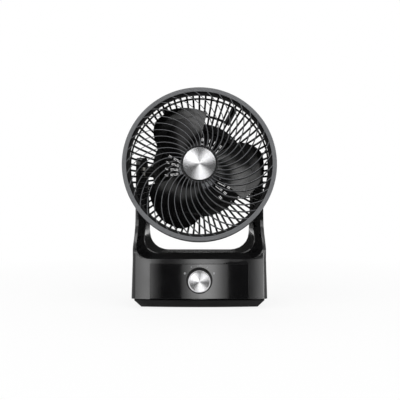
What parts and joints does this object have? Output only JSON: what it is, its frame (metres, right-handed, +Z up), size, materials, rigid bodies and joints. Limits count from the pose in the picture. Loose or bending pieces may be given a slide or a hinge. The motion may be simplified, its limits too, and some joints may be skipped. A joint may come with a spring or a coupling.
{
  "type": "air circulator fan",
  "caption": "Table air circulator: drum head with a spiral front grille and cupped impeller, tilting in a yoke stand with a selector knob, on a swinging base.",
  "frame": {"origin": "on the table under the middle of the whole fan", "axes": "+Z up, the fan blows along -Y, +X to the right as seen from ahead of it"},
  "size_m": [0.2528, 0.2082, 0.3604],
  "materials": {
    "satin_black_shell": "satin",
    "gloss_panel": "gloss",
    "rim_grey": "satin",
    "frame_black": "satin",
    "blade_grey": "semi-gloss",
    "spun_aluminium": "spun",
    "plated_steel": "zinc plated",
    "black_rubber": "matte",
    "white_acetal": "satin",
    "copper_wire": "enamelled copper",
    "bearing_bronze": "sintered"
  },
  "bodies": {
    "base": {"base_plate": "frame_black", "foot_1": "black_rubber", "foot_2": "black_rubber", "foot_3": "black_rubber", "foot_4": "black_rubber", "thrust_washer": "white_acetal", "base_spindle": "plated_steel", "swing_gear": "white_acetal"},
    "stand": {"stand_floor": "frame_black", "floor_screw_1": "plated_steel", "floor_screw_2": "plated_steel", "floor_screw_3": "plated_steel", "floor_screw_4": "plated_steel", "swing_bracket": "plated_steel", "swing_motor": "plated_steel", "run_capacitor": "white_acetal", "terminal_block": "white_acetal", "cord_gland": "black_rubber", "front_shell": "satin_black_shell", "rear_shell": "satin_black_shell", "arm_screw_right": "plated_steel", "arm_screw_left": "plated_steel", "pivot_bush_right": "white_acetal", "pivot_bush_left": "white_acetal", "control_panel": "gloss_panel", "dial_bezel": "frame_black", "rotary_switch": "white_acetal"},
    "knob": {"selector_knob": "frame_black", "knob_face": "spun_aluminium", "switch_shaft": "plated_steel"},
    "pinion": {"swing_pinion": "white_acetal"},
    "head": {"front_grille": "rim_grey", "hub_cap": "spun_aluminium", "rear_grille": "frame_black", "motor_cover": "frame_black", "cover_screw_1": "plated_steel", "cover_screw_2": "plated_steel", "cover_screw_3": "plated_steel", "cover_screw_4": "plated_steel", "tilt_pivot_right": "frame_black", "tilt_pivot_left": "frame_black", "motor_front_bell": "plated_steel", "motor_rear_bell": "plated_steel", "stator_stack": "plated_steel", "front_winding": "copper_wire", "rear_winding": "copper_wire", "front_bushing": "bearing_bronze", "rear_bushing": "bearing_bronze"},
    "fan_rotor": {"impeller": "blade_grey", "impeller_nut": "frame_black", "motor_shaft": "plated_steel", "rotor": "plated_steel"}
  },
  "joints": [
    {"name": "swing", "type": "hinge", "parent": "base", "child": "stand", "pos_m": [0, 0.007, 0.015], "axis": [0, 0, 1], "range_deg": [-40, 40]},
    {"name": "pinion_spin", "type": "hinge", "parent": "stand", "child": "pinion", "pos_m": [0, 0.046, 0.0245], "axis": [0, 0, 1], "range_deg": [-134, 134]},
    {"name": "knob_turn", "type": "hinge", "parent": "stand", "child": "knob", "pos_m": [0, -0.0902, 0.047], "axis": [0, -1, 0], "range_deg": [-64, 64]},
    {"name": "tilt", "type": "hinge", "parent": "stand", "child": "head", "pos_m": [0, 0.007, 0.2277], "axis": [-1, 0, 0], "range_deg": [-10, 85]},
    {"name": "blade_spin", "type": "hinge", "parent": "head", "child": "fan_rotor", "pos_m": [0, 0.007, 0.2277], "axis": [0, -0.9966, 0.0819], "continuous": true}
  ],
  "couplings": [
    {"joint": "pinion_spin", "follows": "swing", "ratio": 3.3333}
  ]
}
